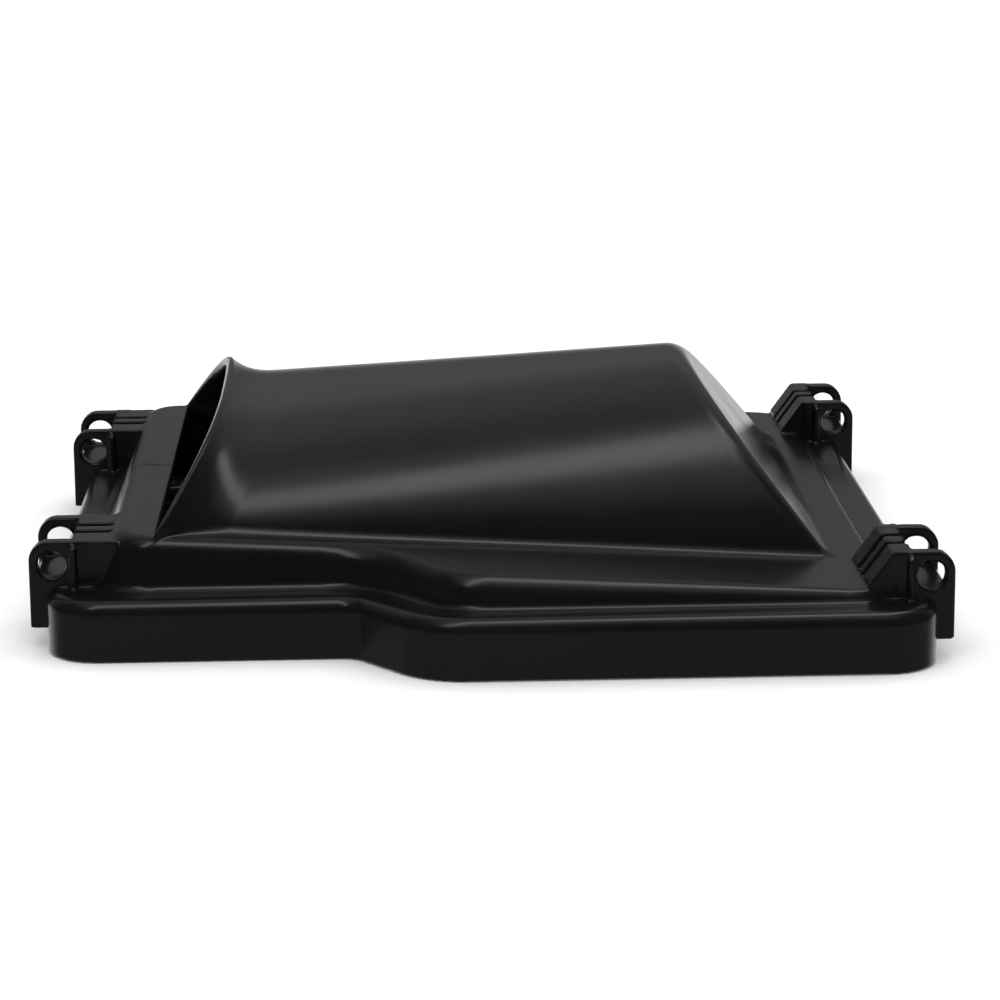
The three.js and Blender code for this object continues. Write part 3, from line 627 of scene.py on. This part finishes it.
def ring_mesh(name, loops, mats):
    """closed tube through loops that all have the same number of points"""
    L = np.array(loops, float)                       # (profile, along, 3)
    P, A = L.shape[:2]
    i, j = np.meshgrid(np.arange(P), np.arange(A), indexing="ij")
    i2, j2 = (i + 1) % P, (j + 1) % A
    q = np.stack([i * A + j, i * A + j2, i2 * A + j2, i2 * A + j], -1).reshape(-1, 4)
    v = L.reshape(-1, 3)
    t = v[q]
    vol = np.einsum("ij,ij->i", t[:, 0], np.cross(t[:, 1], t[:, 2])).sum() + np.einsum("ij,ij->i", t[:, 0], np.cross(t[:, 2], t[:, 3])).sum()
    if vol < 0: q = q[:, ::-1]
    return mesh_object(name, v, q, mats)

def turned(name, profile, cx, cy, mats, n=72):
    a = np.arange(n) * 2 * math.pi / n
    loops = [np.stack([cx + r * np.cos(a), cy + r * np.sin(a), np.full(n, z)], 1) for r, z in profile]
    return smooth_by(ring_mesh(name, loops, mats), 40)

def smooth_by(ob, deg):
    me = ob.data
    bm = bmesh.new(); bm.from_mesh(me)
    lim = math.radians(deg)
    for e in bm.edges:
        e.smooth = not (len(e.link_faces) == 2 and e.calc_face_angle(0) > lim)
    bm.to_mesh(me); bm.free()
    return ob

def plan_loop(inset, arc=12, step=6.0):
    o = Outline(inset, inset, inset, inset, inset, max(15.0 - inset, 2.0))
    pts = []
    for i in range(8):
        (cx, cy), r, kind, s, e = o.arcs[i]
        a0 = math.atan2(s[1] - cy, s[0] - cx); a1 = math.atan2(e[1] - cy, e[0] - cx)
        d = (a1 - a0 + math.pi) % (2 * math.pi) - math.pi
        for k in range(arc + 1):
            a = a0 + d * k / arc
            pts.append((cx + r * math.cos(a), cy + r * math.sin(a)))
        (ax, ay), (bx, by) = o.segs[i]
        m = 24
        for k in range(1, m): pts.append((ax + (bx - ax) * k / m, ay + (by - ay) * k / m))
    return np.array(pts)

def rect_loop(hx, hy, r, arc=10, m=24):
    pts = []
    cs = [(hx - r, -hy + r, -0.5), (hx - r, hy - r, 0), (-hx + r, hy - r, 0.5), (-hx + r, -hy + r, 1.0)]
    for i, (cx, cy, a0) in enumerate(cs):
        for k in range(arc + 1):
            a = math.pi * (a0 + 0.5 * k / arc)
            pts.append((cx + r * math.cos(a), cy + r * math.sin(a)))
        nx, ny, na = cs[(i + 1) % 4]
        e = pts[-1]; s = (nx + r * math.cos(math.pi * na), ny + r * math.sin(math.pi * na))
        for k in range(1, m): pts.append((e[0] + (s[0] - e[0]) * k / m, e[1] + (s[1] - e[1]) * k / m))
    return np.array(pts)

# cover gasket: soft section with two sealing lips on its upper face
prof = rounded([(4.1, 11.3, .5), (9.1, 11.3, .5), (9.1, 12.9, .5), (8.3, 13.0, .3), (7.9, 13.7, .3), (7.3, 13.7, .3), (6.9, 13.0, .3),
                (6.3, 13.0, .3), (5.9, 13.7, .3), (5.3, 13.7, .3), (4.9, 13.0, .3), (4.1, 12.9, .5)], 3)
gasket = ring_mesh("cover_gasket_cord", [np.column_stack([plan_loop(u), np.full(len(plan_loop(u)), v)]) for u, v in prof], [M_RUBBER])
keep(smooth_by(gasket, 45), "base", "cover_gasket")

seal = turned("outlet_seal_ring", rounded([(29.1, 0.9, .25), (29.9, 0.8, .15), (30.2, 0.2, .25), (30.8, 0.2, .25), (31.1, 0.7, .15), (31.4, 0.2, .25), (32.0, 0.2, .25),
                                           (32.3, 0.8, .15), (33.1, 0.9, .25), (33.1, 2.2, .3), (29.1, 2.2, .3)], 3), 0, 0, [M_RUBBER], 128)
keep(seal, "base", "outlet_seal")

for i, (x, y) in enumerate(MOUNTS):
    g = turned(f"grommet_{i + 1}_rubber", rounded([(4.8, .2, .35), (9.6, .2, .6), (9.8, 2.0, .35), (6.7, 2.0, .3), (6.7, 6.3, .3), (9.8, 6.3, .35), (9.6, 8.1, .7),
                                                    (7.6, 8.1, .2), (7.2, 7.75, .2), (6.6, 7.75, .2), (6.2, 8.1, .2), (4.8, 8.1, .35)], 4), x, y, [M_RUBBER])
    keep(g, "base", f"grommet_{i + 1}")
    t = turned(f"sleeve_{i + 1}_turned", rounded([(3.3, .2, .2), (4.5, .2, .25), (4.5, 8.4, .15), (8.0, 8.4, .25), (8.0, 9.6, .35), (3.3, 9.6, .3)], 4), x, y, [M_ZINC])
    keep(t, "base", f"sleeve_{i + 1}")

# --------------------------------------------------------- the filter element
EX, EY = 77.0, 66.0
fp = rounded([(0.5, 8.3, .8), (1.6, 8.3, .5), (2.2, 9.0, .4), (3.2, 9.0, .4), (3.8, 8.3, .6), (7.2, 8.3, .7), (8.0, 9.2, .5), (8.0, 30.2, .5), (7.3, 31.0, .7),
              (4.9, 31.0, .6), (4.3, 30.2, .4), (2.9, 30.2, .4), (2.3, 31.0, .6), (0.7, 31.0, .8), (0.0, 29.6, .8), (0.0, 20.6, .5), (0.7, 20.2, .4), (0.7, 19.0, .4), (0.0, 18.6, .5), (0.0, 9.8, .8)], 3)
frame_ring = ring_mesh("filter_frame_cast", [np.column_stack([rect_loop(EX - u, EY - u, max(5.0 - u, 0.6)), np.full(136, v)]) for u, v in fp], [M_PU])
keep(smooth_by(frame_ring, 50), "element", "filter_frame")

def pleated(name, n=30, hx=68.0, hy=57.6, z0=9.75, z1=28.3, thick=0.5, rows=45):
    """one sheet of paper in n pleats, with rounded folds and a slight wander along each fold"""
    zm, zh = (z0 + z1) / 2, (z1 - z0) / 2 - thick / 2
    pitch = 2 * (hx - 0.6) / n
    T = []
    for k in range(n):
        for f in (0.0, 0.07, 0.15, 0.32, 0.5, 0.57, 0.65, 0.82): T.append(k + f)
    T = np.array(T + [float(n)])
    ph = (T % 1.0) * 2 * math.pi
    tri = np.arcsin(np.clip(np.sin(ph - math.pi / 2) * 0.985, -1, 1)) / math.asin(0.985)
    ys = np.linspace(-hy, hy, rows)
    px = -hx + 0.6 + T * pitch
    P = np.zeros((rows, len(T), 3))
    for j, y in enumerate(ys):
        calm = np.clip((hy - abs(y)) / 6.0, 0, 1)
        w = 0.28 * np.sin(y * 0.11 + np.floor(T + 0.5) * 1.7) + 0.14 * np.sin(y * 0.31 + np.floor(T + 0.5) * 2.9)
        P[j, :, 0] = px + w * calm * np.clip(np.minimum(T, n - T) * 2, 0, 1)
        P[j, :, 1] = y
        P[j, :, 2] = zm + zh * tri * (1 - 0.012 * calm * np.sin(y * 0.07 + np.floor(T) * 0.9))
    d = np.gradient(P[:, :, [0, 2]], axis=1)
    l = np.maximum(np.linalg.norm(d, axis=2), 1e-9)
    nx, nz = -d[:, :, 1] / l, d[:, :, 0] / l
    up, dn = P.copy(), P.copy()
    up[:, :, 0] += nx * thick / 2; up[:, :, 2] += nz * thick / 2
    dn[:, :, 0] -= nx * thick / 2; dn[:, :, 2] -= nz * thick / 2
    m = len(T)
    v = np.concatenate([up.reshape(-1, 3), dn.reshape(-1, 3)])
    v[:, 0] = np.clip(v[:, 0], -hx, hx)
    off = rows * m
    j, i = np.meshgrid(np.arange(rows - 1), np.arange(m - 1), indexing="ij")
    a, b, c, e = j * m + i, j * m + i + 1, (j + 1) * m + i + 1, (j + 1) * m + i
    q = [np.stack([a, b, c, e], -1).reshape(-1, 4), np.stack([e + off, c + off, b + off, a + off], -1).reshape(-1, 4)]
    def edge(x, y2):   # wall between the two sheets along an ordered border
        return np.stack([x[1:], x[:-1], x[:-1] + off, x[1:] + off], -1)
    bot = np.arange(m); top = (rows - 1) * m + np.arange(m)
    lef = np.arange(rows) * m; rig = lef + m - 1
    q += [edge(bot, 0), edge(top[::-1], 0), edge(lef[::-1], 0), edge(rig, 0)]
    q = np.concatenate(q)
    t = v[q]
    vol = np.einsum("ij,ij->i", t[:, 0], np.cross(t[:, 1], t[:, 2])).sum() + np.einsum("ij,ij->i", t[:, 0], np.cross(t[:, 2], t[:, 3])).sum()
    if vol < 0: q = q[:, ::-1]
    return mesh_object(name, v, q, [M_PAPER])
keep(smooth_by(pleated("filter_media_paper"), 60), "element", "filter_media")

def expanded(name, z0, z1, hx=68.5, hy=57.5, px=7.0, py=3.6, strand=0.55):
    """expanded-metal sheet: a tiling of rhombi, each with its rhombic opening"""
    nx, ny = int(2 * hx // px), int(2 * hy // py)
    px, py = 2 * hx / nx, 2 * hy / ny
    zc, zt = (z0 + z1) / 2, (z1 - z0) / 2
    keys, V, Q = {}, [], []
    def vert(x, y, s):
        k = (round(x, 3), round(y, 3), s)
        if k not in keys:
            tilt = 0.16 * math.cos(2 * math.pi * (y + hy) / py)
            keys[k] = len(V); V.append((x, y, zc + s * (zt - 0.17) + tilt * 0.9))
        return keys[k]
    fx, fy = 1 - 2 * strand / px * 1.35, 1 - 2 * strand / py * 0.9
    for i in range(2 * nx + 1):
        for j in range(2 * ny + 1):
            if (i + j) % 2: continue
            cx, cy = -hx + i * px / 2, -hy + j * py / 2
            O = [(cx - px / 2, cy), (cx, cy - py / 2), (cx + px / 2, cy), (cx, cy + py / 2)]
            if any(abs(x) > hx + 1e-6 or abs(y) > hy + 1e-6 for x, y in O): continue
            I = [(cx + (x - cx) * fx, cy + (y - cy) * fy) for x, y in O]
            for k in range(4):
                o0, o1, i0, i1 = O[k], O[(k + 1) % 4], I[k], I[(k + 1) % 4]
                Q.append([vert(*o0, 1), vert(*o1, 1), vert(*i1, 1), vert(*i0, 1)])
                Q.append([vert(*i0, -1), vert(*i1, -1), vert(*o1, -1), vert(*o0, -1)])
                Q.append([vert(*i0, 1), vert(*i1, 1), vert(*i1, -1), vert(*i0, -1)])
    # close the zigzag border
    count = {}
    for q in Q:
        for k in range(4):
            a, b = q[k], q[(k + 1) % 4]
            key = (min(a, b), max(a, b))
            count.setdefault(key, []).append((a, b))
    pair = {}
    inv = {v: k for k, v in keys.items()}
    for key, uses in count.items():
        if len(uses) == 1:
            a, b = uses[0]
            if inv[a][2] == 1:
                a2, b2 = keys[(inv[a][0], inv[a][1], -1)], keys[(inv[b][0], inv[b][1], -1)]
                Q.append([b, a, a2, b2])
    ob = mesh_object(name, V, Q, [M_SCREEN])
    ob.data.shade_flat()
    return ob
keep(expanded("lower_screen_mesh", 8.5, 9.3), "element", "lower_screen")
keep(expanded("upper_screen_mesh", 29.8, 30.6), "element", "upper_screen")

def bead(name, yc):
    """hot-melt bead laid across the pleat tips: fuller over each tip, sagging between them"""
    n, sec = 241, 14
    xs = np.linspace(-67.4, 67.4, n)
    pitch = 2 * 67.4 / 30
    a = np.arange(sec) * 2 * math.pi / sec
    loops = []
    for k, x in enumerate(xs):
        w = 0.5 + 0.5 * math.cos(2 * math.pi * (x + 67.4 - pitch / 2) / pitch)
        end = min(1.0, math.sqrt(max(0.0, min(k, n - 1 - k) / 4.0)))
        ry = (0.92 + 0.30 * w + 0.05 * math.sin(x * 0.9 + yc)) * max(end, 0.05)
        rz = (0.30 + 0.09 * w) * max(end, 0.05)
        yo = 0.05 * math.sin(x * 0.13 + yc)
        loops.append(np.stack([np.full(sec, x), yc + yo + ry * np.cos(a), 29.1 - 0.04 * (1 - w) + rz * np.sin(a)], 1))
    L = np.array(loops)
    v = np.concatenate([L.reshape(-1, 3), [L[0].mean(0)], [L[-1].mean(0)]])
    i, j = np.meshgrid(np.arange(n - 1), np.arange(sec), indexing="ij")
    j2 = (j + 1) % sec
    q = np.stack([i * sec + j, (i + 1) * sec + j, (i + 1) * sec + j2, i * sec + j2], -1).reshape(-1, 4)
    bm = bmesh.new()
    vs = [bm.verts.new(p * MM) for p in v]
    for f in q: bm.faces.new([vs[t] for t in f])
    for k in range(sec):
        bm.faces.new([vs[k], vs[(k + 1) % sec], vs[n * sec]])
        bm.faces.new([vs[(n - 1) * sec + (k + 1) % sec], vs[(n - 1) * sec + k], vs[n * sec + 1]])
    bmesh.ops.recalc_face_normals(bm, faces=bm.faces)
    me = bpy.data.meshes.new(name); bm.to_mesh(me); bm.free()
    me.shade_smooth(); me.materials.append(M_GLUE)
    ob = bpy.data.objects.new(name, me); scene.collection.objects.link(ob)
    return ob
for i, y in enumerate((-29, 0, 29)):
    keep(bead(f"spacer_bead_{i + 1}_glue", y), "element", f"spacer_bead_{i + 1}")

# ----------------------------------------------------------- the pre-cleaner
def foam_field(x, y, z):
    wav = 0.22 * np.sin(x * 0.09 + 0.6) * np.sin(y * 0.11 + 1.1) + 0.10 * np.sin(x * 0.31 + y * 0.23)
    edge = 0.35 * np.sin(x * 0.17) * np.sin(y * 0.13)
    plan = round_rect(x, y, 71.6 + edge * 0.6, 57.1 + edge * 0.6, 8)
    sag = 0.0009 * np.minimum(x * x + y * y, 4000)
    slab = np.abs(z - 34.8) - (3.15 + wav * 0.8) + 0.15 * np.clip(sag / 3.6, 0, 1)
    return cmax(plan + 0.02 * (z - 34.8) ** 2, slab, 1.6)
def foam_at(p): return foam_field(p[:, 0].copy(), p[:, 1].copy(), p[:, 2].copy())
pad = field_object("pre_cleaner_pad", foam_field, foam_at, (-74, -60, 29.5), (74, 60, 40), 0.8, faces=150000, mats=[M_FOAM])
keep(pad, "foam", "pre_cleaner")

# --------------------------------------------------------- stage and lighting
def area(name, loc, target, size, power, color=(1, 1, 1), size_y=None):
    l = bpy.data.lights.new(name, "AREA"); l.energy = power; l.color = color
    l.shape = "RECTANGLE"; l.size = size; l.size_y = size_y or size
    o = bpy.data.objects.new(name, l)
    o.location = loc
    d = Vector(target) - Vector(loc)
    o.rotation_euler = d.to_track_quat("-Z", "Y").to_euler()
    scene.collection.objects.link(o)
    return o

me = bpy.data.meshes.new("floor"); me.from_pydata([(-6, -6, 0), (6, -6, 0), (6, 6, 0), (-6, 6, 0)], [], [(0, 1, 2, 3)])
floor = bpy.data.objects.new("floor", me); scene.collection.objects.link(floor)
fm = Mat("floor_mat")
fm.color(fm.mix(fm.remap(fm.noise(60, 3), 0.3, 0.7, 0, 1), (0.86, 0.86, 0.86), (0.88, 0.88, 0.88)))
fm.set(Roughness=0.9, Specular_IOR_Level=0.0)
me.materials.append(fm.m)
floor.location = (0, 0, -0.0002)
floor.visible_glossy = False

# soft studio surround: white sweep low behind the object, dim above it, dark in front
world = bpy.data.worlds.new("world"); scene.world = world; world.use_nodes = True
wn, wl = world.node_tree.nodes, world.node_tree.links
bg = wn["Background"]
lp = wn.new("ShaderNodeLightPath"); wtc = wn.new("ShaderNodeTexCoord"); sep = wn.new("ShaderNodeSeparateXYZ")
wl.new(wtc.outputs["Generated"], sep.inputs[0])
def wramp(stops):
    """grey level against the sine of the elevation"""
    mr = wn.new("ShaderNodeMapRange"); mr.inputs["From Min"].default_value = -1; mr.inputs["From Max"].default_value = 1
    wl.new(sep.outputs["Z"], mr.inputs["Value"])
    r = wn.new("ShaderNodeValToRGB"); r.color_ramp.interpolation = "EASE"
    el = r.color_ramp.elements
    while len(el) > 1: el.remove(el[-1])
    for k, (s, g) in enumerate(stops):
        e = el[0] if k == 0 else el.new((s + 1) / 2)
        e.position = (s + 1) / 2; e.color = (g, g, g, 1)
    wl.new(mr.outputs["Result"], r.inputs["Fac"])
    return r.outputs["Color"]
def wmix(fac, a, b):
    n = wn.new("ShaderNodeMixRGB")
    for k, c in (("Color1", a), ("Color2", b)):
        if isinstance(c, tuple): n.inputs[k].default_value = c
        else: wl.new(c, n.inputs[k])
    wl.new(fac, n.inputs["Fac"])
    return n.outputs["Color"]
back = wramp([(-1.0, 1.0), (-0.055, 1.0), (-0.015, 0.30), (0.03, 0.10), (0.12, 0.12), (0.20, 0.21), (0.28, 0.21), (0.40, 0.18), (0.62, 0.25), (0.85, 0.30), (1.0, 0.40)])
front = wramp([(-1.0, 0.19), (-0.1, 0.155), (0.05, 0.028), (0.2, 0.010), (0.5, 0.010), (0.82, 0.03), (1.0, 0.40)])
ymask = wn.new("ShaderNodeMapRange"); ymask.interpolation_type = "SMOOTHSTEP"
ymask.inputs["From Min"].default_value = 0.2; ymask.inputs["From Max"].default_value = 0.75
wl.new(sep.outputs["Y"], ymask.inputs["Value"])
gloss = wmix(ymask.outputs["Result"], front, back)
seen = wmix(lp.outputs["Is Glossy Ray"], (1.2, 1.2, 1.2, 1), gloss)
final = wmix(lp.outputs["Is Camera Ray"], seen, (1, 1, 1, 1))
wl.new(final, bg.inputs["Color"])

area("overhead", (0.06, -0.045, 1.25), (0, 0.0, 0.03), 2.1, 3.25, size_y=0.24)

scene.view_settings.view_transform = "Standard"
